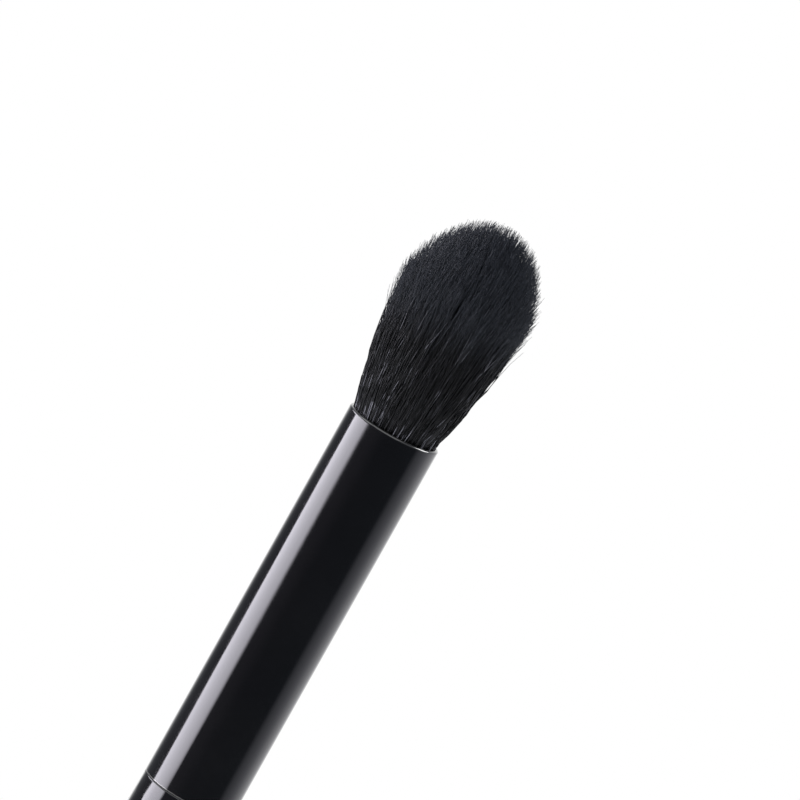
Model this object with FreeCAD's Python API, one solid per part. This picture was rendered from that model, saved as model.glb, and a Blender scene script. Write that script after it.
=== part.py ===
import FreeCAD
import Part

import math
import os

# Eyeshadow brush: a soft domed tuft of hair in a lacquered metal ferrule on a turned wooden handle.
# Sizes are in millimetres. The brush stands along Z with its tuft up, and the origin is on its axis,
# halfway along the ferrule's straight wall, where a rack's ring holds it.

# Ferrule, a drawn tube
ferrule_length = 34.2
ferrule_diameter = 8.0
ferrule_wall = 0.3
lip_round = 0.22  # outside
lip_inner_round = 0.06
foot_round = 0.05

# Hair
hair_out = 18.2  # from the mouth of the ferrule to the tips
hair_inside = 15.0  # from the mouth down to the glued ends
hair_clearance = 0.05  # between the packed hair and the bore
hair_collar = 0.3  # how far the still part of the hair stands out of the mouth
tuft_diameter = 11.0  # at its widest
tuft_widest = 10.0  # from the mouth up to the widest place
side_bow = 0.12  # how far the flaring side bows out from a straight line

# Bend of the hair. A bent tuft turns as if about a pivot at this share of its free length.
bend_share = 0.15
bend_gap = 0.15  # between the tuft's round seat and the still hair
bend_ledge = 0.18  # from the round seat out to the side of the tuft

# Binding thread, wound round a waist in the hair
thread_diameter = 0.35
thread_turns = 6
thread_gap = 0.45  # between two turns
thread_clearance = 0.05  # between the thread and the hair
waist_depth = 0.6
waist_above_ends = 8.0  # from the glued ends of the hair up to the middle of the waist

# Glue plug, a cup round the ends of the hair
plug_floor = 2.5
plug_grip = 3.0  # how far its wall reaches up the hair
plug_wall = 0.3
plug_lead = 1.0  # height of the cone where the hair widens out of the plug

# Handle
handle_length = 118.0  # from the ferrule's foot to the tail
shoulder_round = 0.12
belly_diameter = 8.3
belly_below = 16.0  # from the ferrule's foot down to the thickest place
tail_diameter = 5.2
tail_lean = 1.2  # degrees between the axis and the handle's side where its round tail begins
tenon_clearance = 1.5  # between the end of the tenon and the glue plug
tenon_chamfer = 0.5
key_count = 3  # rings scored into the tenon to key the glue
key_width = 0.8
key_depth = 0.25

# Glue between the tenon and the ferrule
film_thickness = 0.15
film_setback = 0.4  # from the ferrule's foot up to the glue

# Worked out from the sizes above
mouth = (ferrule_length + lip_round - foot_round) / 2
foot = mouth - ferrule_length
outer_radius = ferrule_diameter / 2
bore_radius = outer_radius - ferrule_wall
hair_radius = bore_radius - hair_clearance
tuft_radius = tuft_diameter / 2
tip = mouth + hair_out
widest = mouth + tuft_widest
bend_height = mouth + bend_share * hair_out
hair_ends = mouth - hair_inside
plug_top = hair_ends + plug_grip
glued_radius = bore_radius - plug_wall
waist_middle = hair_ends + waist_above_ends
thread_pitch = thread_diameter + thread_gap
waist_length = thread_pitch * (thread_turns + 1)
waist_radius = hair_radius - waist_depth
tenon_radius = bore_radius - film_thickness
tenon_top = hair_ends - plug_floor - tenon_clearance
tenon_length = tenon_top - foot
tail = foot - handle_length

whole_turn = 360
up = FreeCAD.Vector(0, 0, 1)
centre = FreeCAD.Vector(0, 0, 0)


# Outlines are drawn at a radius and a height, and turned about the axis.
def at(radius, height):
    return FreeCAD.Vector(radius, 0, height)


def line(start, end):
    return Part.LineSegment(start, end).toShape()


def arc(start, through, end):
    return Part.Arc(start, through, end).toShape()


def lines(points):
    return [line(start, end) for start, end in zip(points, points[1:])]


def round_about(middle, radius, first, last):
    # An arc about a point, between two angles in degrees from level
    def place(angle):
        turned = math.radians(angle)
        return middle + at(radius * math.cos(turned), radius * math.sin(turned))

    return arc(place(first), place((first + last) / 2), place(last))


def curve(points):
    bent = Part.BezierCurve()
    bent.setPoles(points)
    return bent.toShape()


def turned(edges):
    outline = Part.Wire(Part.__sortEdges__(edges))
    return Part.Face(outline).revolve(centre, up, whole_turn)


# The flaring side of the tuft is an arc from the mouth to the widest place.
side_low = at(hair_radius, mouth)
side_top = at(tuft_radius, widest)
side_out = FreeCAD.Vector(0, 1, 0).cross(side_top - side_low).normalize()
side_middle = (side_low + side_top) * 0.5 + side_out * side_bow


def side_radius(height):
    side = Part.Circle(side_low, side_middle, side_top)
    rise = height - side.Center.z
    return side.Center.x + math.sqrt(side.Radius**2 - rise**2)


seat_radius = side_radius(bend_height) - bend_ledge
socket_radius = seat_radius + bend_gap


def hair_tuft():
    # The hair that bends: a domed tuft on a round seat about the pivot of the bend
    pivot = at(0, bend_height)
    ledge_end = at(side_radius(bend_height), bend_height)
    half_up_side = (bend_height + widest) / 2
    dome = Part.Ellipse(at(0, tip), side_top, at(0, widest))
    return turned(
        [
            round_about(pivot, seat_radius, -90, 0),
            line(at(seat_radius, bend_height), ledge_end),
            arc(ledge_end, at(side_radius(half_up_side), half_up_side), side_top),
            Part.ArcOfEllipse(dome, 0, math.pi / 2).toShape(),
            line(at(0, tip), at(0, bend_height - seat_radius)),
        ]
    )


def hair_root():
    # The hair that stays still in the ferrule, with a waist for the thread and a round socket on top
    collar = mouth + hair_collar
    drop = bend_height - collar
    rim = math.sqrt(socket_radius**2 - drop**2)
    rim_angle = -math.degrees(math.asin(drop / socket_radius))
    low, high = waist_middle - waist_length / 2, waist_middle + waist_length / 2
    side = [
        at(0, hair_ends),
        at(glued_radius, hair_ends),
        at(glued_radius, plug_top),
        at(hair_radius, plug_top + plug_lead),
        at(hair_radius, low - waist_depth),
        at(waist_radius, low),
        at(waist_radius, high),
        at(hair_radius, high + waist_depth),
        at(hair_radius, collar),
        at(rim, collar),
    ]
    socket = round_about(at(0, bend_height), socket_radius, rim_angle, -90)
    return turned(lines(side) + [socket, line(at(0, bend_height - socket_radius), at(0, hair_ends))])


# The thread follows a helix, drawn as two arcs to each half turn.
winding_radius = waist_radius + thread_clearance + thread_diameter / 2
winding_low = waist_middle - thread_pitch * thread_turns / 2


def winding_point(turn):
    angle = 2 * math.pi * turn
    height = winding_low + thread_pitch * turn
    return FreeCAD.Vector(winding_radius * math.cos(angle), winding_radius * math.sin(angle), height)


def winding_direction(turn):
    angle = 2 * math.pi * turn
    round_rate = 2 * math.pi * winding_radius
    way = FreeCAD.Vector(-round_rate * math.sin(angle), round_rate * math.cos(angle), thread_pitch)
    return way.normalize()


def arc_between(start, corner, end):
    # The arc that leaves start towards corner and reaches end from it, both equally far from it
    middle = (start + end) * 0.5
    bend = (corner - start).getAngle(end - corner)
    rise = (end - start).Length / 2 * math.tan(bend / 4)
    return arc(start, middle + (corner - middle).normalize() * rise, end)


def half_turn(first):
    start, end = winding_point(first), winding_point(first + 0.5)
    leaving, arriving = winding_direction(first), winding_direction(first + 0.5)
    across, both = end - start, leaving + arriving
    spare = 4 - both.dot(both)
    reach = (-across.dot(both) + math.sqrt(across.dot(both) ** 2 + spare * across.dot(across))) / spare
    corner, last_corner = start + leaving * reach, end - arriving * reach
    meeting = (corner + last_corner) * 0.5
    return [arc_between(start, corner, meeting), arc_between(meeting, last_corner, end)]


def least_thread_gap(steps=48):
    places = [winding_point(step / steps) for step in range(thread_turns * steps + 1)]
    apart = [
        (places[first] - places[second]).Length
        for first in range(len(places))
        for second in range(first + steps // 2, len(places))
    ]
    return min(apart) - thread_diameter


def binding_thread():
    first_way, last_way = winding_direction(0), winding_direction(thread_turns)
    first, last = winding_point(0), winding_point(thread_turns)
    start = first - first_way * thread_diameter
    edges = [line(start, first)]
    for half in range(2 * thread_turns):
        edges += half_turn(half / 2)
    edges.append(line(last, last + last_way * thread_diameter))
    section = Part.Wire(Part.Circle(start, first_way, thread_diameter / 2).toShape())
    pipe = Part.BRepOffsetAPI.MakePipeShell(Part.Wire(edges))
    pipe.add(section)
    pipe.build()
    pipe.makeSolid()
    print("binding thread: least gap to itself", round(least_thread_gap(), 3), "mm")
    return pipe.shape()


def glue_plug():
    floor = hair_ends - plug_floor
    outline = [
        at(0, floor),
        at(bore_radius, floor),
        at(bore_radius, plug_top),
        at(glued_radius, plug_top),
        at(glued_radius, hair_ends),
        at(0, hair_ends),
        at(0, floor),
    ]
    return turned(lines(outline))


def ferrule():
    inner_lip = at(bore_radius + lip_inner_round, mouth - lip_inner_round)
    outer_lip = at(outer_radius - lip_round, mouth - lip_round)
    outer_foot = at(outer_radius - foot_round, foot + foot_round)
    return turned(
        [
            line(at(bore_radius, foot), at(bore_radius, mouth - lip_inner_round)),
            round_about(inner_lip, lip_inner_round, 180, 90),
            line(at(bore_radius + lip_inner_round, mouth), at(outer_radius - lip_round, mouth)),
            round_about(outer_lip, lip_round, 90, 0),
            line(at(outer_radius, mouth - lip_round), at(outer_radius, foot + foot_round)),
            round_about(outer_foot, foot_round, 0, -90),
            line(at(outer_radius - foot_round, foot), at(bore_radius, foot)),
        ]
    )


def tenon_side(low, high):
    # The tenon's side from low to high, with its scored rings
    points = [at(tenon_radius, low)]
    for key in range(key_count):
        middle = foot + tenon_length * (key + 1) / (key_count + 1)
        bottom, top = middle - key_width / 2, middle + key_width / 2
        points += [
            at(tenon_radius, bottom),
            at(tenon_radius - key_depth, bottom),
            at(tenon_radius - key_depth, top),
            at(tenon_radius, top),
        ]
    return points + [at(tenon_radius, high)]


def handle():
    shoulder = at(outer_radius - shoulder_round, foot - shoulder_round)
    neck = at(outer_radius, foot - shoulder_round)
    belly = at(belly_diameter / 2, foot - belly_below)
    # The round tail is a ball about the axis that leaves the taper smoothly.
    tail_radius = tail_diameter / 2
    lean = math.radians(tail_lean)
    ball_radius = tail_radius / math.cos(lean)
    ball = at(0, tail + ball_radius)
    taper_end = at(tail_radius, ball.z - tail_radius * math.tan(lean))
    neck_third = (neck.z - belly.z) / 3
    taper_third = (belly.z - taper_end.z) / 3
    swell_out = at((neck.x + 2 * belly.x) / 3, neck.z - neck_third)
    swell = curve([neck, swell_out, belly + at(0, neck_third), belly])
    taper_in = taper_end + at(taper_third * math.tan(lean), taper_third)
    taper = curve([belly, belly - at(0, taper_third), taper_in, taper_end])
    top = [at(0, tenon_top), at(tenon_radius - tenon_chamfer, tenon_top)]
    side = tenon_side(foot, tenon_top - tenon_chamfer)[::-1]
    return turned(
        lines(top + side + [at(outer_radius - shoulder_round, foot)])
        + [round_about(shoulder, shoulder_round, 90, 0)]
        + [swell, taper, round_about(ball, ball_radius, -tail_lean, -90)]
        + [line(at(0, tail), at(0, tenon_top))]
    )


def glue_film():
    low, high = foot + film_setback, tenon_top - tenon_chamfer
    inner = tenon_side(low, high)
    return turned(lines(inner + [at(bore_radius, high), at(bore_radius, low), inner[0]]))


makers = [hair_tuft, hair_root, binding_thread, glue_plug, ferrule, handle, glue_film]

os.makedirs("parts", exist_ok=True)
for maker in makers:
    piece = maker()
    if piece.ShapeType != "Solid":
        piece = Part.Solid(piece.Shells[0])
    print(maker.__name__, piece.ShapeType, piece.isValid(), round(piece.Volume, 2), "mm3")
    piece.exportStep(os.path.join("parts", maker.__name__ + ".step"))
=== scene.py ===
import math

import bpy
from mathutils import Matrix, Vector


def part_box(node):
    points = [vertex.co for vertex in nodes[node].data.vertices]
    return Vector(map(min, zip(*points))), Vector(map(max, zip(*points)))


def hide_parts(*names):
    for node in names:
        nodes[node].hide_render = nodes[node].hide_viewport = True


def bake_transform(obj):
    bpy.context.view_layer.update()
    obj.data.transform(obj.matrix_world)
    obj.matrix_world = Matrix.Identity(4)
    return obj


# Eyeshadow brush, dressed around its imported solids: hair by Geometry Nodes, lacquers, soft studio light.
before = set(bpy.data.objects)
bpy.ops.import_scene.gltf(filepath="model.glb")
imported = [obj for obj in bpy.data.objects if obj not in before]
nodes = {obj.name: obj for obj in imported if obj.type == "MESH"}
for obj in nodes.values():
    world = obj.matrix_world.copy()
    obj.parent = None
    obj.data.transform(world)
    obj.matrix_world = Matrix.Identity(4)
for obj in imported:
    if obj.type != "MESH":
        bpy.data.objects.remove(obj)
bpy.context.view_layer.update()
scene = bpy.context.scene
scene.view_settings.view_transform = "Standard"
mm = 0.001

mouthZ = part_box("ferrule")[1].z  # top of the ferrule, where the hair comes out
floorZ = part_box("handle")[0].z

# node settings that come up again and again
smoothStep = {"interpolation_type": "SMOOTHSTEP"}
unclamped = {"clamp": False}
addUp = {"operation": "ADD"}
takeAway = {"operation": "SUBTRACT"}
multiply = {"operation": "MULTIPLY"}
multiplyAdd = {"operation": "MULTIPLY_ADD"}
divide = {"operation": "DIVIDE"}
toPower = {"operation": "POWER"}
larger = {"operation": "MAXIMUM"}
scaleBy = {"operation": "SCALE"}
lengthOf = {"operation": "LENGTH"}
colourMix = {"data_type": "RGBA"}  # sockets by number: 0 factor, 6 and 7 the colours
pointFloat = {"data_type": "FLOAT", "domain": "POINT"}


def linearColour(hexText):
    # sRGB hex to linear RGBA
    parts = [int(hexText[i:i + 2], 16) / 255 for i in (1, 3, 5)]
    return tuple(p / 12.92 if p <= 0.04045 else ((p + 0.055) / 1.055) ** 2.4 for p in parts) + (1.0,)


def addNode(tree, kind, settings=None, inputs=None):
    # one node, with its settings, and its inputs set or linked
    node = tree.nodes.new(kind)
    for name, value in (settings or {}).items():
        setattr(node, name, value)
    for socket, value in (inputs or {}).items():
        if isinstance(value, bpy.types.NodeSocket):
            tree.links.new(value, node.inputs[socket])
        else:
            node.inputs[socket].default_value = value
    return node


def setRamp(ramp, stops):
    # colour stops as (place, hex)
    elements = ramp.color_ramp.elements
    while len(elements) < len(stops):
        elements.new(1.0)
    for element, (place, colour) in zip(elements, stops):
        element.position = place
        element.color = linearColour(colour)


def newMaterial(name):
    material = bpy.data.materials.new(name)
    material.use_nodes = True
    material.node_tree.nodes.clear()
    return material, material.node_tree


# Camera

photo = {
    "tilt": 10.0,  # degrees above square to the brush, from the hair's side
    "lean": 29.36,  # degrees that the brush leans to the right in the picture
    "pixelsPerMm": 12.55,
    "mouthPixel": (395.0, 427.0),
    "size": 800,
    "lens": 420.0,  # mm, because the ferrule shows no perspective
    "sensor": 36.0,
    "clip": (0.01, 20),
}


def addCamera():
    p = photo
    tilt, lean = math.radians(p["tilt"]), math.radians(p["lean"])
    forward = Vector((0, math.cos(tilt), -math.sin(tilt)))
    flatRight, flatUp = Vector((1, 0, 0)), Vector((0, math.sin(tilt), math.cos(tilt)))
    right = flatRight * math.cos(lean) + flatUp * math.sin(lean)
    up = flatUp * math.cos(lean) - flatRight * math.sin(lean)
    middle = p["size"] / 2
    across = (middle - p["mouthPixel"][0]) / p["pixelsPerMm"] * mm
    rise = (p["mouthPixel"][1] - middle) / p["pixelsPerMm"] * mm
    aim = Vector((0, 0, mouthZ)) + right * across + up * rise
    distance = p["size"] / p["pixelsPerMm"] * mm * p["lens"] / p["sensor"]
    data = bpy.data.cameras.new("photoCamera")
    data.lens = p["lens"]
    data.sensor_width = p["sensor"]
    data.clip_start, data.clip_end = p["clip"]
    camera = bpy.data.objects.new("photoCamera", data)
    scene.collection.objects.link(camera)
    turn = Matrix((right, up, -forward)).transposed().to_4x4()
    camera.matrix_world = Matrix.Translation(aim - forward * distance) @ turn
    scene.camera = camera


addCamera()
print("camera set")


# Studio, sizes in metres

studio = {
    "stripRadiance": 5.0,
    "stripFade": 0.62,  # its right edge against its left
    "stripEdge": 0.12,  # and the last of that edge, which is soft
    "stripEdgeFrom": 0.8,  # share of the width where that begins
    "stripFoot": 0.2,  # its ends against its middle, and the heights between which they fade
    "stripFootFade": (-0.175, -0.14),
    "stripTop": 0.2,
    "stripTopFade": (0.03, 0.12),
    "stripAngles": (-112.5, -63.5),  # degrees from the camera's side, to the left
    "stripDistance": 0.5,
    "stripHeight": 0.8,
    "stripDrop": 0.04,  # how far its middle is below the origin
    "stripLean": 60.0,
    "stripColour": "#F7F4FF",
    # softboxes: place, size, radiance
    "leftSoftbox": ((-0.36, -0.07, 0.27), 0.3, 1.2),
    "topSoftbox": ((-0.1, -0.5, 0.8), 1.0, 0.7),
    "rearSoftbox": ((0.5, 0.18, 0.45), 0.34, 6.0),
    # what stands round the brush, in degrees from the camera's side: dark room, and white paper behind
    "around": [
        (-180, "#D4D4D4"), (-155, "#BCBCBE"), (-140, "#696B6F"), (-128, "#5A5B61"), (-62, "#5A5B62"), (-38, "#5C5B63"),
        (-8, "#41444B"), (71, "#43484F"), (83, "#92949C"), (106, "#B7B8C0"), (122, "#D3D3D8"), (180, "#DADADA"),
    ],
    # paper below and a pale ceiling above, and the degrees above level between which they meet the room
    "under": "#DCDEE2",
    "underTo": (-20, -13),
    "over": "#BABCC2",
    "overFrom": (8, 30),
    "behindFrom": (150, 168),  # degrees round to either side between which reflections turn white
}


def addArea(name, place, aim, lean, width, height, radiance, colour):
    data = bpy.data.lights.new(name, "AREA")
    data.shape = "RECTANGLE"
    data.size, data.size_y = width, height
    data.energy = radiance * 4 * width * height  # an area lamp's radiance is its power over four times its area
    data.color = linearColour(colour)[:3]
    lamp = bpy.data.objects.new(name, data)
    scene.collection.objects.link(lamp)
    turn = (aim - place).to_track_quat("-Z", "Y").to_matrix() @ Matrix.Rotation(math.radians(lean), 3, "Z")
    lamp.matrix_world = Matrix.Translation(place) @ turn.to_4x4()
    lamp.visible_camera = False
    return data


def addStrip():
    # a tall leaning strip on the left, dimmer towards its right edge and both its ends
    s = studio
    first, last = (math.radians(a) for a in s["stripAngles"])
    middle, half = (first + last) / 2, (last - first) / 2
    place = Vector((math.sin(middle), -math.cos(middle), 0)) * s["stripDistance"]
    place.z = -s["stripDrop"]
    width = 2 * s["stripDistance"] * math.tan(half) * math.cos(math.radians(s["stripLean"]))
    strip = addArea("leftStrip", place, Vector((0, 0, -s["stripDrop"])), s["stripLean"], width, s["stripHeight"],
                    s["stripRadiance"], s["stripColour"])
    strip.use_nodes = True
    tree = strip.node_tree
    tree.nodes.clear()
    surface = addNode(tree, "ShaderNodeNewGeometry")
    spot = addNode(tree, "ShaderNodeSeparateXYZ", None, {0: surface.outputs["Parametric"]})
    height = addNode(tree, "ShaderNodeSeparateXYZ", None, {0: surface.outputs["Position"]})
    fade = addNode(tree, "ShaderNodeMapRange", None, {
        "Value": spot.outputs["X"], "To Min": 1.0, "To Max": s["stripFade"]})
    edge = addNode(tree, "ShaderNodeMapRange", smoothStep, {
        "Value": spot.outputs["X"], "From Min": s["stripEdgeFrom"], "From Max": 1.0,
        "To Min": 1.0, "To Max": s["stripEdge"]})
    rising = addNode(tree, "ShaderNodeMapRange", smoothStep, {
        "Value": height.outputs["Z"], "From Min": s["stripFootFade"][0], "From Max": s["stripFootFade"][1],
        "To Min": s["stripFoot"], "To Max": 1.0})
    ending = addNode(tree, "ShaderNodeMapRange", smoothStep, {
        "Value": height.outputs["Z"], "From Min": s["stripTopFade"][0], "From Max": s["stripTopFade"][1],
        "To Min": 1.0, "To Max": s["stripTop"]})
    sides = addNode(tree, "ShaderNodeMath", multiply, {0: fade.outputs[0], 1: edge.outputs[0]})
    ends = addNode(tree, "ShaderNodeMath", multiply, {0: rising.outputs[0], 1: ending.outputs[0]})
    strength = addNode(tree, "ShaderNodeMath", multiply, {0: sides.outputs[0], 1: ends.outputs[0]})
    glow = addNode(tree, "ShaderNodeEmission", None, {"Color": (1, 1, 1, 1), "Strength": strength.outputs[0]})
    addNode(tree, "ShaderNodeOutputLight", None, {"Surface": glow.outputs[0]})


def addSoftboxes():
    for name in ("leftSoftbox", "topSoftbox", "rearSoftbox"):
        place, size, radiance = studio[name]
        addArea(name, Vector(place), Vector((0, 0, 0)), 0, size, size, radiance, "#FFFFFF")


def addWorld():
    s = studio
    world = bpy.data.worlds.new("studioWorld")
    scene.world = world
    world.use_nodes = True
    tree = world.node_tree
    tree.nodes.clear()
    # the room by the angle round the brush, then by height
    way = addNode(tree, "ShaderNodeSeparateXYZ", None, {0: addNode(tree, "ShaderNodeTexCoord").outputs["Generated"]})
    away = addNode(tree, "ShaderNodeMath", multiply, {0: way.outputs["Y"], 1: -1.0})
    angle = addNode(tree, "ShaderNodeMath", {"operation": "ARCTAN2"}, {0: way.outputs["X"], 1: away.outputs[0]})
    share = addNode(tree, "ShaderNodeMapRange", None, {
        "Value": angle.outputs[0], "From Min": -math.pi, "From Max": math.pi})
    ramp = addNode(tree, "ShaderNodeValToRGB", None, {0: share.outputs[0]})
    setRamp(ramp, [((degrees + 180) / 360, colour) for degrees, colour in s["around"]])
    lowFrom, lowTo = (math.sin(math.radians(a)) for a in s["underTo"])
    highFrom, highTo = (math.sin(math.radians(a)) for a in s["overFrom"])
    low = addNode(tree, "ShaderNodeMapRange", smoothStep, {
        "Value": way.outputs["Z"], "From Min": lowFrom, "From Max": lowTo})
    high = addNode(tree, "ShaderNodeMapRange", smoothStep, {
        "Value": way.outputs["Z"], "From Min": highFrom, "From Max": highTo})
    level = addNode(tree, "ShaderNodeMix", colourMix, {
        0: low.outputs[0], 6: linearColour(s["under"]), 7: ramp.outputs[0]})
    room = addNode(tree, "ShaderNodeMix", colourMix, {
        0: high.outputs[0], 6: level.outputs[2], 7: linearColour(s["over"])})
    # the camera sees white, and reflections do too where it stands behind the brush
    path = addNode(tree, "ShaderNodeLightPath")
    seen = addNode(tree, "ShaderNodeMath", larger, {
        0: path.outputs["Is Camera Ray"], 1: path.outputs["Is Transmission Ray"]})
    turned = addNode(tree, "ShaderNodeMath", {"operation": "ABSOLUTE"}, {0: angle.outputs[0]})
    behindFrom, behindTo = (math.radians(a) for a in s["behindFrom"])
    behind = addNode(tree, "ShaderNodeMapRange", smoothStep, {
        "Value": turned.outputs[0], "From Min": behindFrom, "From Max": behindTo})
    mirrored = addNode(tree, "ShaderNodeMath", multiply, {0: behind.outputs[0], 1: path.outputs["Is Glossy Ray"]})
    white = addNode(tree, "ShaderNodeMath", larger, {0: seen.outputs[0], 1: mirrored.outputs[0]})
    colour = addNode(tree, "ShaderNodeMix", colourMix, {0: white.outputs[0], 6: room.outputs[2], 7: (1, 1, 1, 1)})
    light = addNode(tree, "ShaderNodeBackground", None, {"Color": colour.outputs[2], "Strength": 1.0})
    addNode(tree, "ShaderNodeOutputWorld", None, {"Surface": light.outputs[0]})


addStrip()
addSoftboxes()
addWorld()


# Floor, pale paper that fades into the white, sizes in metres

floorSizes = {"radius": 0.25, "solidTo": 0.08, "goneAt": 0.24, "corners": 96, "paper": "#F7F7F7"}


def addFloor():
    f = floorSizes
    material, tree = newMaterial("palePaper")
    place = addNode(tree, "ShaderNodeTexCoord").outputs["Object"]
    reach = addNode(tree, "ShaderNodeVectorMath", lengthOf, {0: place})
    fade = addNode(tree, "ShaderNodeMapRange", smoothStep, {
        "Value": reach.outputs["Value"], "From Min": f["solidTo"], "From Max": f["goneAt"]})
    paper = addNode(tree, "ShaderNodeBsdfDiffuse", None, {"Color": linearColour(f["paper"])})
    clear = addNode(tree, "ShaderNodeBsdfTransparent")
    mix = addNode(tree, "ShaderNodeMixShader", None, {0: fade.outputs[0], 1: paper.outputs[0], 2: clear.outputs[0]})
    addNode(tree, "ShaderNodeOutputMaterial", None, {"Surface": mix.outputs[0]})
    bpy.ops.mesh.primitive_circle_add(
        vertices=f["corners"], radius=f["radius"], fill_type="NGON", location=(0, 0, floorZ))
    floor = bpy.context.object
    floor.name = "paperFloor"
    floor.data.materials.append(material)


addFloor()
print("studio set")


# Hair, sizes in mm

hair = {
    "count": 9200,
    "pieces": 4,
    "segments": 9,
    "sides": 4,
    "seed": 7,
    "seedStep": 11.0,  # between the seeds of a hair's chances
    "thickness": 0.08,
    "thinRange": (0.75, 1.15),  # thinnest and thickest hair
    "rootWidth": 0.5,  # radius at the root and the tip, in shares of the thickness
    "tipWidth": 0.14,
    "taperFrom": 0.5,  # share of the length where the taper begins
    "sunk": 1.5,  # how far the hairs start below the mouth
    "mouthRadius": 3.66,
    "flareTop": 15.0,  # height where the bundle stops opening
    "opening": 2.4,  # how fast it opens near the mouth
    "topRadius": 5.68,  # of the bundle at that height
    "shoulder": 9.6,  # height where the outermost hairs end
    "out": 18.05,  # mouth to the highest tips
    "crownPower": 0.48,  # roundness of the crown
    "slant": 0.3,  # how much higher the crown's right shoulder is
    "tipSpread": 0.58,  # how far a tip may end above or below the crown
    "shortShare": 0.3,  # share of hairs that are cut or worn shorter
    "shortest": 0.7,
    # how far a tip gets from its root, in shares of the bundle's radius
    "lockPull": 0.6,
    "locks": 9.0,
    "sway": 0.35,
    "swayScale": 5.0,
    "lean": 0.24,
    "strayLean": 2.6,  # how much further the wildest hairs lean
    "strayFrom": 0.9,  # the share of hairs below which none is wild
    "leastReach": 0.88,  # how far out a tip may get, at least
    "crossing": 1.2,  # how late a hair goes over to its tip's place
    "wave": 0.1,  # how far a hair waves from side to side
    "waveLength": 4.0,
    "waveApart": 7.31,  # from hair to hair, so that no two wave alike
    "dive": 0.14,  # how far it dives under its neighbours
    "diveRange": (0.46, 0.66),
    "splay": 0.5,  # how far the wildest tips flick outwards
    "flickFrom": 0.7,
    "flickPower": 2.0,
    "strayPower": 1.5,
    # shades, each with a column of the texture, and the room left beside and above the hairs in it
    "tones": 64,
    "columnEdge": 0.25,
    "rowEdge": 0.02,
    # each hair's own random tone; the palest stops are painted highlights, reached only in the painted gleams and at
    # the mouth
    "toneAndGlintStops": [
        (0.0, "#0B0C0F"), (0.45, "#0D0D11"), (0.74, "#0F1014"), (0.82, "#1B1C20"), (0.89, "#48484E"), (1.0, "#909098"),
    ],
    # painted highlights: stretches along the paler hairs are painted paler, as glints
    "paintedGleams": 6.0,  # stretches along a hair
    "paintedGleamApart": 3.7,  # from tone to tone
    "paintedGleamRange": (0.42, 0.58),
    "betweenPaintedGleams": 0.75,
    # painted highlight at the mouth: how much paler the hairs are painted where they bend out
    "paintedMouthGleam": 1.2,
    "paintedMouthRange": (0.14, 0.34),  # shares of the length between which that fades
    # paler blue-grey towards the tips: partly the tips' own tint, partly painted backlight through the thin tips
    "backlitTipColour": "#40444C",
    "backlitTipFrom": 0.65,
    "tipShare": 0.8,
}

# inputs of the hair's tree: whole numbers, then lengths and shares from the sizes of the same names
hairCounts = ("Count", "First Hair", "Seed")
hairLengths = ("Thickness", "Sunk", "Mouth Radius", "Flare Top", "Top Radius", "Shoulder", "Out", "Slant", "Tip Spread",
               "Wave Length", "Splay")
hairShares = ("Shortest", "Lock Pull", "Sway", "Lean", "Wave", "Dive")


def hairSize(name):
    # Mouth Radius is mouthRadius in the dictionary
    joined = name.replace(" ", "")
    return hair[joined[0].lower() + joined[1:]]


def hairMaterial():
    # Black synthetic fibre, drawn and tapered: blue-black, no two hairs quite alike, with painted highlights in
    # stretches along the paler hairs and where they bend out of the mouth, and paler tips that are partly painted
    # backlight.
    h = hair
    material, tree = newMaterial("syntheticHair")
    tone = addNode(tree, "ShaderNodeAttribute", {"attribute_name": "hairTone"}).outputs["Fac"]
    along = addNode(tree, "ShaderNodeAttribute", {"attribute_name": "hairAlong"}).outputs["Fac"]
    # painted highlights: the paler hairs are painted paler still in stretches along them, as glints
    ownRow = addNode(tree, "ShaderNodeMath", multiply, {0: tone, 1: h["tones"] * h["paintedGleamApart"]})
    ownPlace = addNode(tree, "ShaderNodeMath", multiply, {0: along, 1: h["paintedGleams"]})
    stretch = addNode(tree, "ShaderNodeCombineXYZ", None, {0: ownRow.outputs[0], 1: ownPlace.outputs[0]})
    paintedGleamNoise = addNode(tree, "ShaderNodeTexNoise", {"noise_dimensions": "2D"}, {
        "Vector": stretch.outputs[0], "Scale": 1.0, "Detail": 0.0})
    shown = addNode(tree, "ShaderNodeMapRange", smoothStep, {
        "Value": paintedGleamNoise.outputs["Fac"], "From Min": h["paintedGleamRange"][0], "From Max": h["paintedGleamRange"][1],
        "To Min": h["betweenPaintedGleams"], "To Max": 1.0})
    # and a painted highlight where they bend out of the mouth, which pales the hairs there
    paintedMouthGlint = addNode(tree, "ShaderNodeMapRange", smoothStep, {
        "Value": along, "From Min": h["paintedMouthRange"][0], "From Max": h["paintedMouthRange"][1],
        "To Min": h["paintedMouthGleam"], "To Max": 1.0})
    toneWithMouthGlint = addNode(tree, "ShaderNodeMath", multiply, {0: tone, 1: paintedMouthGlint.outputs[0]})
    toneWithPaintedGleams = addNode(tree, "ShaderNodeMath", multiply, {0: toneWithMouthGlint.outputs[0], 1: shown.outputs[0]})
    ramp = addNode(tree, "ShaderNodeValToRGB", None, {0: toneWithPaintedGleams.outputs[0]})
    setRamp(ramp, h["toneAndGlintStops"])
    # paler tips: partly their own tint, partly painted backlight
    paintedTipBacklight = addNode(tree, "ShaderNodeMapRange", smoothStep, {
        "Value": along, "From Min": h["backlitTipFrom"], "From Max": 1.0, "To Min": 0.0, "To Max": h["tipShare"]})
    colour = addNode(tree, "ShaderNodeMix", colourMix, {
        0: paintedTipBacklight.outputs[0], 6: ramp.outputs[0], 7: linearColour(h["backlitTipColour"])})
    shader = addNode(tree, "ShaderNodeBsdfPrincipled", None, {
        "Base Color": colour.outputs[2], "Roughness": 0.3, "IOR": 1.55, "Specular IOR Level": 0.34})
    addNode(tree, "ShaderNodeOutputMaterial", None, {"Surface": shader.outputs[0]})
    return material


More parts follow.
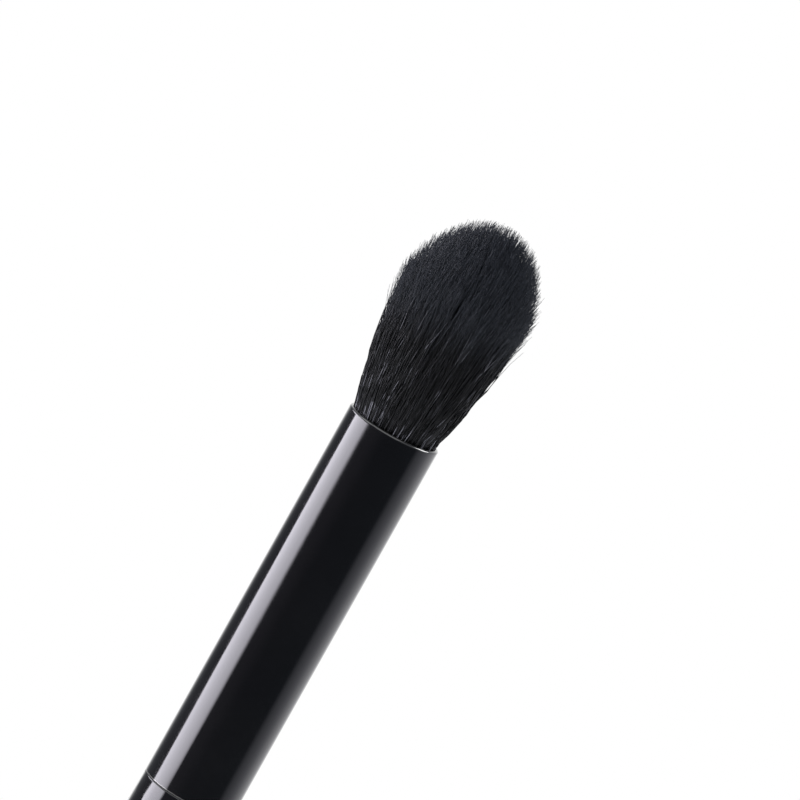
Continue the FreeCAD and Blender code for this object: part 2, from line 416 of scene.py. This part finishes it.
def hairTree(material):
    h = hair
    tree = bpy.data.node_groups.new("hairTree", "GeometryNodeTree")
    tree.interface.new_socket("Geometry", in_out="OUTPUT", socket_type="NodeSocketGeometry")
    sockets = {}
    for names, kind in ((hairCounts, "NodeSocketInt"), (hairLengths + hairShares, "NodeSocketFloat")):
        for name in names:
            sockets[name] = tree.interface.new_socket(name, in_out="INPUT", socket_type=kind).identifier
    given = addNode(tree, "NodeGroupInput").outputs
    noiseMiddle, flatOnly = (0.5, 0.5, 0.5), (1, 1, 0)

    # one straight line for each hair, which keeps its number
    number = addNode(tree, "ShaderNodeMath", addUp, {
        0: addNode(tree, "GeometryNodeInputIndex").outputs[0], 1: given["First Hair"]})
    points = addNode(tree, "GeometryNodePoints", None, {"Count": given["Count"]})
    numbered = addNode(tree, "GeometryNodeStoreNamedAttribute", {"data_type": "INT", "domain": "POINT"}, {
        "Geometry": points.outputs[0], "Name": "hairNumber", "Value": number.outputs[0]})
    straight = addNode(tree, "GeometryNodeCurvePrimitiveLine", None, {"End": (0, 0, 1)})
    stepped = addNode(tree, "GeometryNodeResampleCurve", None, {
        "Curve": straight.outputs[0], "Count": h["segments"] + 1})
    placed = addNode(tree, "GeometryNodeInstanceOnPoints", None, {
        "Points": numbered.outputs[0], "Instance": stepped.outputs[0]})
    lines = addNode(tree, "GeometryNodeRealizeInstances", None, {0: placed.outputs[0]})
    hairNumber = addNode(tree, "GeometryNodeInputNamedAttribute", {"data_type": "INT"}, {
        "Name": "hairNumber"}).outputs[0]
    along = addNode(tree, "GeometryNodeSplineParameter").outputs["Factor"]

    # each hair's own chances, from its number; Random Value's sockets go by number, from and to:
    # 0 and 1 for vectors, 2 and 3 for floats, 4 and 5 for whole numbers, then 7 the hair and 8 the seed
    seeds = [addNode(tree, "ShaderNodeMath", addUp, {0: given["Seed"], 1: k * h["seedStep"]}).outputs[0]
             for k in range(8)]
    share = addNode(tree, "FunctionNodeRandomValue", None, {7: hairNumber, 8: seeds[0]}).outputs[1]
    turn = addNode(tree, "FunctionNodeRandomValue", None, {3: 2 * math.pi, 7: hairNumber, 8: seeds[1]}).outputs[1]
    spread = addNode(tree, "FunctionNodeRandomValue", None, {2: -1.0, 3: 1.0, 7: hairNumber, 8: seeds[2]}).outputs[1]
    aside = addNode(tree, "FunctionNodeRandomValue", {"data_type": "FLOAT_VECTOR"}, {
        0: (-1, -1, -0.05), 1: (1, 1, 0.05), 7: hairNumber, 8: seeds[3]}).outputs[0]
    toneStep = addNode(tree, "FunctionNodeRandomValue", {"data_type": "INT"}, {
        4: 0, 5: h["tones"] - 1, 7: hairNumber, 8: seeds[4]}).outputs[2]
    thin = addNode(tree, "FunctionNodeRandomValue", None, {
        2: h["thinRange"][0], 3: h["thinRange"][1], 7: hairNumber, 8: seeds[5]}).outputs[1]
    cut = addNode(tree, "FunctionNodeRandomValue", None, {7: hairNumber, 8: seeds[6]}).outputs[1]
    stray = addNode(tree, "FunctionNodeRandomValue", None, {7: hairNumber, 8: seeds[7]}).outputs[1]

    # place in the bundle, from 0 in its middle to 1 at its side
    ring = addNode(tree, "ShaderNodeMath", {"operation": "SQRT"}, {0: share})
    ringPlace = addNode(tree, "ShaderNodeCombineXYZ", None, {0: ring.outputs[0]})
    root = addNode(tree, "ShaderNodeVectorRotate", {"rotation_type": "Z_AXIS"}, {
        "Vector": ringPlace.outputs[0], "Angle": turn}).outputs[0]

    # place of its tip: locks draw together and sway, and each hair leans its own way, but stays in the bundle
    lock = addNode(tree, "ShaderNodeTexVoronoi", {"voronoi_dimensions": "2D"}, {"Vector": root, "Scale": h["locks"]})
    toLock = addNode(tree, "ShaderNodeVectorMath", takeAway, {0: lock.outputs["Position"], 1: root})
    pulled = addNode(tree, "ShaderNodeVectorMath", scaleBy, {0: toLock.outputs[0], "Scale": given["Lock Pull"]})
    wind = addNode(tree, "ShaderNodeTexNoise", None, {"Vector": root, "Scale": h["swayScale"], "Detail": 1.0})
    windWay = addNode(tree, "ShaderNodeVectorMath", takeAway, {0: wind.outputs["Color"], 1: noiseMiddle})
    blown = addNode(tree, "ShaderNodeVectorMath", scaleBy, {0: windWay.outputs[0], "Scale": given["Sway"]})
    wild = addNode(tree, "ShaderNodeMapRange", smoothStep, {
        "Value": stray, "From Min": h["strayFrom"], "From Max": 1.0, "To Min": 1.0, "To Max": h["strayLean"]})
    leaning = addNode(tree, "ShaderNodeMath", multiply, {0: wild.outputs[0], 1: given["Lean"]})
    own = addNode(tree, "ShaderNodeVectorMath", scaleBy, {0: aside, "Scale": leaning.outputs[0]})
    both = addNode(tree, "ShaderNodeVectorMath", addUp, {0: pulled.outputs[0], 1: blown.outputs[0]})
    allThree = addNode(tree, "ShaderNodeVectorMath", addUp, {0: both.outputs[0], 1: own.outputs[0]})
    drift = addNode(tree, "ShaderNodeVectorMath", multiplyAdd, {0: allThree.outputs[0], 1: flatOnly, 2: root})
    far = addNode(tree, "ShaderNodeVectorMath", lengthOf, {0: drift.outputs[0]})
    limit = addNode(tree, "ShaderNodeMapRange", None, {"Value": cut, "To Min": h["leastReach"], "To Max": 1.0})
    beyond = addNode(tree, "ShaderNodeMath", divide, {0: limit.outputs[0], 1: far.outputs["Value"]})
    keep = addNode(tree, "ShaderNodeMath", {"operation": "MINIMUM"}, {0: beyond.outputs[0], 1: 1.0})
    tip = addNode(tree, "ShaderNodeVectorMath", scaleBy, {0: drift.outputs[0], "Scale": keep.outputs[0]}).outputs[0]
    tipShare = addNode(tree, "ShaderNodeVectorMath", {"operation": "DOT_PRODUCT"}, {0: tip, 1: tip})

    # height of the tip: a crown, tipped to the right, with uneven ends and some shorter hairs
    under = addNode(tree, "ShaderNodeMath", {"operation": "SUBTRACT", "use_clamp": True}, {
        0: 1.0, 1: tipShare.outputs["Value"]})
    dome = addNode(tree, "ShaderNodeMath", toPower, {0: under.outputs[0], 1: h["crownPower"]})
    crown = addNode(tree, "ShaderNodeMapRange", unclamped, {
        "Value": dome.outputs[0], "To Min": given["Shoulder"], "To Max": given["Out"]})
    side = addNode(tree, "ShaderNodeSeparateXYZ", None, {0: tip})
    tipped = addNode(tree, "ShaderNodeMath", multiplyAdd, {
        0: side.outputs["X"], 1: given["Slant"], 2: crown.outputs[0]})
    uneven = addNode(tree, "ShaderNodeMath", multiplyAdd, {0: spread, 1: given["Tip Spread"], 2: tipped.outputs[0]})
    shorter = addNode(tree, "ShaderNodeMapRange", None, {
        "Value": cut, "From Min": 0.0, "From Max": h["shortShare"], "To Min": given["Shortest"], "To Max": 1.0})
    tipHeight = addNode(tree, "ShaderNodeMath", multiply, {0: uneven.outputs[0], 1: shorter.outputs[0]})
    start = addNode(tree, "ShaderNodeMath", multiply, {0: given["Sunk"], 1: -1.0})
    height = addNode(tree, "ShaderNodeMapRange", unclamped, {
        "Value": along, "To Min": start.outputs[0], "To Max": tipHeight.outputs[0]}).outputs[0]

    # the bundle opens out of the mouth, less and less, and the tips flick out
    left = addNode(tree, "ShaderNodeMapRange", None, {
        "Value": height, "From Min": 0.0, "From Max": given["Flare Top"], "To Min": 1.0, "To Max": 0.0})
    opened = addNode(tree, "ShaderNodeMath", toPower, {0: left.outputs[0], 1: h["opening"]})
    radius = addNode(tree, "ShaderNodeMapRange", unclamped, {
        "Value": opened.outputs[0], "To Min": given["Top Radius"], "To Max": given["Mouth Radius"]})
    ending = addNode(tree, "ShaderNodeMapRange", None, {"Value": along, "From Min": h["flickFrom"], "From Max": 1.0})
    flick = addNode(tree, "ShaderNodeMath", toPower, {0: ending.outputs[0], 1: h["flickPower"]})
    ownFlick = addNode(tree, "ShaderNodeMath", toPower, {0: stray, 1: h["strayPower"]})
    flicked = addNode(tree, "ShaderNodeMath", multiply, {0: flick.outputs[0], 1: ownFlick.outputs[0]})
    reach = addNode(tree, "ShaderNodeMath", multiplyAdd, {
        0: flicked.outputs[0], 1: given["Splay"], 2: radius.outputs[0]})

    # each hair goes over from its root's place to its tip's, and weaves in and out on the way
    gone = addNode(tree, "ShaderNodeMath", toPower, {0: along, 1: h["crossing"]})
    between = addNode(tree, "ShaderNodeMix", {"data_type": "VECTOR"}, {0: gone.outputs[0], 4: root, 5: tip})
    apart = addNode(tree, "ShaderNodeMath", multiply, {0: hairNumber, 1: h["waveApart"]})
    waves = addNode(tree, "ShaderNodeMath", divide, {0: height, 1: given["Wave Length"]})
    row = addNode(tree, "ShaderNodeCombineXYZ", None, {0: apart.outputs[0], 1: waves.outputs[0]})
    crimp = addNode(tree, "ShaderNodeTexNoise", {"noise_dimensions": "2D"}, {
        "Vector": row.outputs[0], "Scale": 1.0, "Detail": 0.0})
    crimpWay = addNode(tree, "ShaderNodeVectorMath", takeAway, {0: crimp.outputs["Color"], 1: noiseMiddle})
    crimped = addNode(tree, "ShaderNodeVectorMath", scaleBy, {0: crimpWay.outputs[0], "Scale": given["Wave"]})
    woven = addNode(tree, "ShaderNodeVectorMath", multiplyAdd, {
        0: crimped.outputs[0], 1: flatOnly, 2: between.outputs[1]})
    outside = addNode(tree, "ShaderNodeVectorMath", lengthOf, {0: woven.outputs[0]})
    full = addNode(tree, "ShaderNodeMath", larger, {0: outside.outputs["Value"], 1: 1.0})
    deep = addNode(tree, "ShaderNodeMapRange", smoothStep, {
        "Value": crimp.outputs["Fac"], "From Min": h["diveRange"][0], "From Max": h["diveRange"][1],
        "To Min": 0.0, "To Max": given["Dive"]})
    free = addNode(tree, "ShaderNodeMath", multiplyAdd, {0: gone.outputs[0], 1: -1.0, 2: 1.0})
    sunk = addNode(tree, "ShaderNodeMath", multiply, {0: deep.outputs[0], 1: free.outputs[0]})
    shown = addNode(tree, "ShaderNodeMath", takeAway, {0: 1.0, 1: sunk.outputs[0]})
    inside = addNode(tree, "ShaderNodeMath", divide, {0: shown.outputs[0], 1: full.outputs[0]})
    held = addNode(tree, "ShaderNodeMath", multiply, {0: reach.outputs[0], 1: inside.outputs[0]})
    flat = addNode(tree, "ShaderNodeVectorMath", scaleBy, {0: woven.outputs[0], "Scale": held.outputs[0]})
    upTo = addNode(tree, "ShaderNodeCombineXYZ", None, {
        2: addNode(tree, "ShaderNodeMath", addUp, {0: height, 1: mouthZ}).outputs[0]})
    final = addNode(tree, "ShaderNodeVectorMath", addUp, {0: flat.outputs[0], 1: upTo.outputs[0]})
    bent = addNode(tree, "GeometryNodeSetPosition", None, {"Geometry": lines.outputs[0], "Position": final.outputs[0]})

    # tone and place along the hair, for the material
    tone = addNode(tree, "ShaderNodeMath", divide, {0: toneStep, 1: h["tones"] - 1.0})
    toned = addNode(tree, "GeometryNodeStoreNamedAttribute", pointFloat, {
        "Geometry": bent.outputs[0], "Name": "hairTone", "Value": tone.outputs[0]})
    measured = addNode(tree, "GeometryNodeStoreNamedAttribute", pointFloat, {
        "Geometry": toned.outputs[0], "Name": "hairAlong", "Value": along})

    # a thin tube that tapers to its tip
    taper = addNode(tree, "ShaderNodeMapRange", smoothStep, {
        "Value": along, "From Min": h["taperFrom"], "From Max": 1.0, "To Min": h["rootWidth"], "To Max": h["tipWidth"]})
    width = addNode(tree, "ShaderNodeMath", multiply, {0: taper.outputs[0], 1: given["Thickness"]})
    ownWidth = addNode(tree, "ShaderNodeMath", multiply, {0: width.outputs[0], 1: thin})
    ringCurve = addNode(tree, "GeometryNodeCurvePrimitiveCircle", None, {"Resolution": h["sides"], "Radius": 1.0})
    corner = addNode(tree, "GeometryNodeInputIndex").outputs[0]
    around = addNode(tree, "ShaderNodeMath", divide, {0: corner, 1: h["sides"] + 2.0})
    rounded = addNode(tree, "GeometryNodeStoreNamedAttribute", pointFloat, {
        "Geometry": ringCurve.outputs[0], "Name": "hairAround", "Value": around.outputs[0]})
    solid = addNode(tree, "GeometryNodeCurveToMesh", None, {
        "Curve": measured.outputs[0], "Profile Curve": rounded.outputs[0], "Scale": ownWidth.outputs[0],
        "Fill Caps": True})

    # texture places: a column for each tone, the hair's length along it
    kept = {name: addNode(tree, "GeometryNodeInputNamedAttribute", {"data_type": "FLOAT"}, {"Name": name}).outputs[0]
            for name in ("hairTone", "hairAlong", "hairAround")}
    column = addNode(tree, "ShaderNodeMath", multiplyAdd, {
        0: kept["hairTone"], 1: h["tones"] - 1.0, 2: h["columnEdge"]})
    inColumn = addNode(tree, "ShaderNodeMath", addUp, {0: column.outputs[0], 1: kept["hairAround"]})
    across = addNode(tree, "ShaderNodeMath", divide, {0: inColumn.outputs[0], 1: float(h["tones"])})
    upward = addNode(tree, "ShaderNodeMapRange", None, {
        "Value": kept["hairAlong"], "To Min": h["rowEdge"], "To Max": 1 - h["rowEdge"]})
    spot = addNode(tree, "ShaderNodeCombineXYZ", None, {0: across.outputs[0], 1: upward.outputs[0]})
    mapped = addNode(tree, "GeometryNodeStoreNamedAttribute", {"data_type": "FLOAT2", "domain": "CORNER"}, {
        "Geometry": solid.outputs[0], "Name": "OFBake", "Value": spot.outputs[0]})
    smooth = addNode(tree, "GeometryNodeSetShadeSmooth", None, {0: mapped.outputs[0]})
    whole = addNode(tree, "GeometryNodeRealizeInstances", None, {0: smooth.outputs[0]})
    dyed = addNode(tree, "GeometryNodeSetMaterial", None, {"Geometry": whole.outputs[0], "Material": material})
    addNode(tree, "NodeGroupOutput", None, {0: dyed.outputs[0]})
    return tree, sockets


def addHair():
    h = hair
    material = hairMaterial()
    tree, sockets = hairTree(material)
    each = h["count"] // h["pieces"]
    for piece in range(h["pieces"]):
        holder = bpy.data.objects.new("hairMaker", bpy.data.meshes.new("hairMaker"))
        scene.collection.objects.link(holder)
        grow = holder.modifiers.new("grow", "NODES")
        grow.node_group = tree
        values = {"Count": each, "First Hair": piece * each, "Seed": h["seed"]}
        values.update({name: hairSize(name) * mm for name in hairLengths})
        values.update({name: hairSize(name) for name in hairShares})
        for name, value in values.items():
            grow[sockets[name]] = value
        bpy.context.view_layer.update()
        grown = holder.evaluated_get(bpy.context.evaluated_depsgraph_get())
        mesh = bpy.data.meshes.new_from_object(grown)
        bpy.data.objects.remove(holder)
        tuft = bpy.data.objects.new("tuftHair%d" % (piece + 1), mesh)
        scene.collection.objects.link(tuft)
        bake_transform(tuft)
        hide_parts("hair_tuft", "hair_root")
        print("hair piece", piece + 1, "faces", len(mesh.polygons), "materials", [m.name for m in mesh.materials])


addHair()


# Lacquers, sizes in mm

lacquer = {
    "deep": "#050506",
    "cloud": "#0A0A0D",
    "cloudSize": 2.5,
    "peel": 0.7,  # width of the orange peel
    "peelDepth": 0.02,
    "smear": 6.0,  # width of the faint handling marks
    "smearRange": (0.35, 0.7),
    "clean": 0.09,  # roughness between the marks
    "metal": "#D8D5CF",
    "edge": 0.08,  # height of the worn bands
    "footFrom": 0.05,  # where the lower band begins above the tube's foot, and where there is none any more
    "footTo": 0.2,
    "lipMetal": 0.02,
    "footMetal": 0.35,
}


def lacquerMaterial(name, edges, grain, peel, dull):
    # Black lacquer sprayed on and baked: deep and glossy, with a trace of orange peel and faint handling marks.
    # On the tube's two edges the lacquer is thin and the metal gleams through.
    s = lacquer
    material, tree = newMaterial(name)
    place = addNode(tree, "ShaderNodeTexCoord").outputs["Object"]
    stretched = addNode(tree, "ShaderNodeMapping", None, {"Vector": place, "Scale": (1, 1, grain)})
    cloud = addNode(tree, "ShaderNodeTexNoise", None, {
        "Vector": stretched.outputs[0], "Scale": 1 / (s["cloudSize"] * mm), "Detail": 3.0})
    colour = addNode(tree, "ShaderNodeMix", colourMix, {
        0: cloud.outputs["Fac"], 6: linearColour(s["deep"]), 7: linearColour(s["cloud"])})
    smear = addNode(tree, "ShaderNodeTexNoise", None, {
        "Vector": place, "Scale": 1 / (s["smear"] * mm), "Detail": 4.0, "Roughness": 0.6})
    gloss = addNode(tree, "ShaderNodeMapRange", None, {
        "Value": smear.outputs["Fac"], "From Min": s["smearRange"][0], "From Max": s["smearRange"][1],
        "To Min": s["clean"], "To Max": dull})
    ripple = addNode(tree, "ShaderNodeTexNoise", None, {
        "Vector": stretched.outputs[0], "Scale": 1 / (s["peel"] * mm), "Detail": 2.0})
    bump = addNode(tree, "ShaderNodeBump", None, {
        "Strength": peel, "Distance": s["peelDepth"] * mm, "Height": ripple.outputs["Fac"]})
    shader = addNode(tree, "ShaderNodeBsdfPrincipled", None, {
        "Base Color": colour.outputs[2], "Roughness": gloss.outputs[0], "IOR": 1.5, "Normal": bump.outputs[0],
        "Coat Weight": 1.0, "Coat Roughness": 0.06, "Coat IOR": 1.5})
    if edges:
        low, high = edges
        bandFrom = low + s["footFrom"] * mm
        height = addNode(tree, "ShaderNodeSeparateXYZ", None, {0: place}).outputs["Z"]
        fromFoot = addNode(tree, "ShaderNodeMapRange", unclamped, {
            "Value": height, "From Min": bandFrom, "From Max": bandFrom + s["edge"] * mm,
            "To Min": 0.0, "To Max": math.pi})
        wave = addNode(tree, "ShaderNodeMath", {"operation": "SINE"}, {0: fromFoot.outputs[0]})
        inBand = addNode(tree, "ShaderNodeMath", {"operation": "LESS_THAN"}, {0: height, 1: low + s["footTo"] * mm})
        band = addNode(tree, "ShaderNodeMath", {"operation": "MULTIPLY", "use_clamp": True}, {
            0: wave.outputs[0], 1: inBand.outputs[0]})
        foot = addNode(tree, "ShaderNodeMath", multiply, {0: band.outputs[0], 1: s["footMetal"]})
        lip = addNode(tree, "ShaderNodeMapRange", smoothStep, {
            "Value": height, "From Min": high - 2 * s["edge"] * mm, "From Max": high,
            "To Min": 0.0, "To Max": s["lipMetal"]})
        bare = addNode(tree, "ShaderNodeMath", addUp, {0: foot.outputs[0], 1: lip.outputs[0]})
        shown = addNode(tree, "ShaderNodeMix", colourMix, {
            0: bare.outputs[0], 6: colour.outputs[2], 7: linearColour(s["metal"])})
        tree.links.new(shown.outputs[2], shader.inputs["Base Color"])
        tree.links.new(bare.outputs[0], shader.inputs["Metallic"])
    addNode(tree, "ShaderNodeOutputMaterial", None, {"Surface": shader.outputs[0]})
    return material


# Hidden pieces, sizes in mm

hidden = {
    "plyPitch": 0.3,  # of the twist in the thread
    "plyDepth": 0.05,
    # painted shade between the plies, then the thread's own off-white
    "paintedPlyShade": "#A89F8C",
    "threadPale": "#DAD4C4",
    "bubble": 0.35,
    "plugDeep": "#8A5A1E",
    "plugPale": "#C08A3C",
    "streak": 1.2,
    "filmDeep": "#A98F5C",
    "filmPale": "#D2BE8C",
    "glueDepth": 0.05,
}


def threadMaterial():
    # Polyester thread, plies twisted together: off-white and soft, with slanting shade painted into the colour between
    # the plies, over a bump there.
    s = hidden
    bandSpan = 0.3  # about how often a wave texture of scale 1 repeats
    material, tree = newMaterial("twistedThread")
    place = addNode(tree, "ShaderNodeTexCoord").outputs["Object"]
    plies = addNode(tree, "ShaderNodeTexWave", {"wave_type": "BANDS", "bands_direction": "DIAGONAL"}, {
        "Vector": place, "Scale": bandSpan / (s["plyPitch"] * mm), "Distortion": 1.5, "Detail": 2.0})
    # painted shade: the darker colour lies in the troughs between the plies
    colour = addNode(tree, "ShaderNodeMix", colourMix, {
        0: plies.outputs["Fac"], 6: linearColour(s["paintedPlyShade"]), 7: linearColour(s["threadPale"])})
    bump = addNode(tree, "ShaderNodeBump", None, {
        "Strength": 0.4, "Distance": s["plyDepth"] * mm, "Height": plies.outputs["Fac"]})
    shader = addNode(tree, "ShaderNodeBsdfPrincipled", None, {
        "Base Color": colour.outputs[2], "Roughness": 0.75, "Normal": bump.outputs[0], "Sheen Weight": 0.2})
    addNode(tree, "ShaderNodeOutputMaterial", None, {"Surface": shader.outputs[0]})
    return material


def glueMaterial(name, deep, pale, grain, stretch, roughness):
    # Glue that has set: the plug of poured resin is glassy amber with small bubbles, the film brushed on thin is
    # paler, duller and streaked along the brush.
    material, tree = newMaterial(name)
    place = addNode(tree, "ShaderNodeTexCoord").outputs["Object"]
    drawn = addNode(tree, "ShaderNodeMapping", None, {"Vector": place, "Scale": (1, 1, stretch)})
    cloud = addNode(tree, "ShaderNodeTexNoise", None, {
        "Vector": drawn.outputs[0], "Scale": 1 / (grain * mm), "Detail": 4.0})
    colour = addNode(tree, "ShaderNodeMix", colourMix, {
        0: cloud.outputs["Fac"], 6: linearColour(deep), 7: linearColour(pale)})
    bump = addNode(tree, "ShaderNodeBump", None, {
        "Strength": 0.2, "Distance": hidden["glueDepth"] * mm, "Height": cloud.outputs["Fac"]})
    shader = addNode(tree, "ShaderNodeBsdfPrincipled", None, {
        "Base Color": colour.outputs[2], "Roughness": roughness, "IOR": 1.52, "Normal": bump.outputs[0]})
    addNode(tree, "ShaderNodeOutputMaterial", None, {"Surface": shader.outputs[0]})
    return material


def dress(node, material):
    nodes[node].data.materials.clear()
    nodes[node].data.materials.append(material)


# a lacquer's grain and a glue's stretch below 1 draw its pattern out along the brush
dress("ferrule", lacquerMaterial(
    "ferruleLacquer", edges=(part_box("ferrule")[0].z, mouthZ), grain=0.6, peel=0.16, dull=0.15))
dress("handle", lacquerMaterial("handleLacquer", edges=None, grain=0.25, peel=0.06, dull=0.1))
dress("binding_thread", threadMaterial())
dress("glue_plug", glueMaterial(
    "amberResin", hidden["plugDeep"], hidden["plugPale"], grain=hidden["bubble"], stretch=1.0, roughness=0.15))
dress("glue_film", glueMaterial(
    "contactGlue", hidden["filmDeep"], hidden["filmPale"], grain=hidden["streak"], stretch=0.15, roughness=0.5))
print("lacquers and glues on")
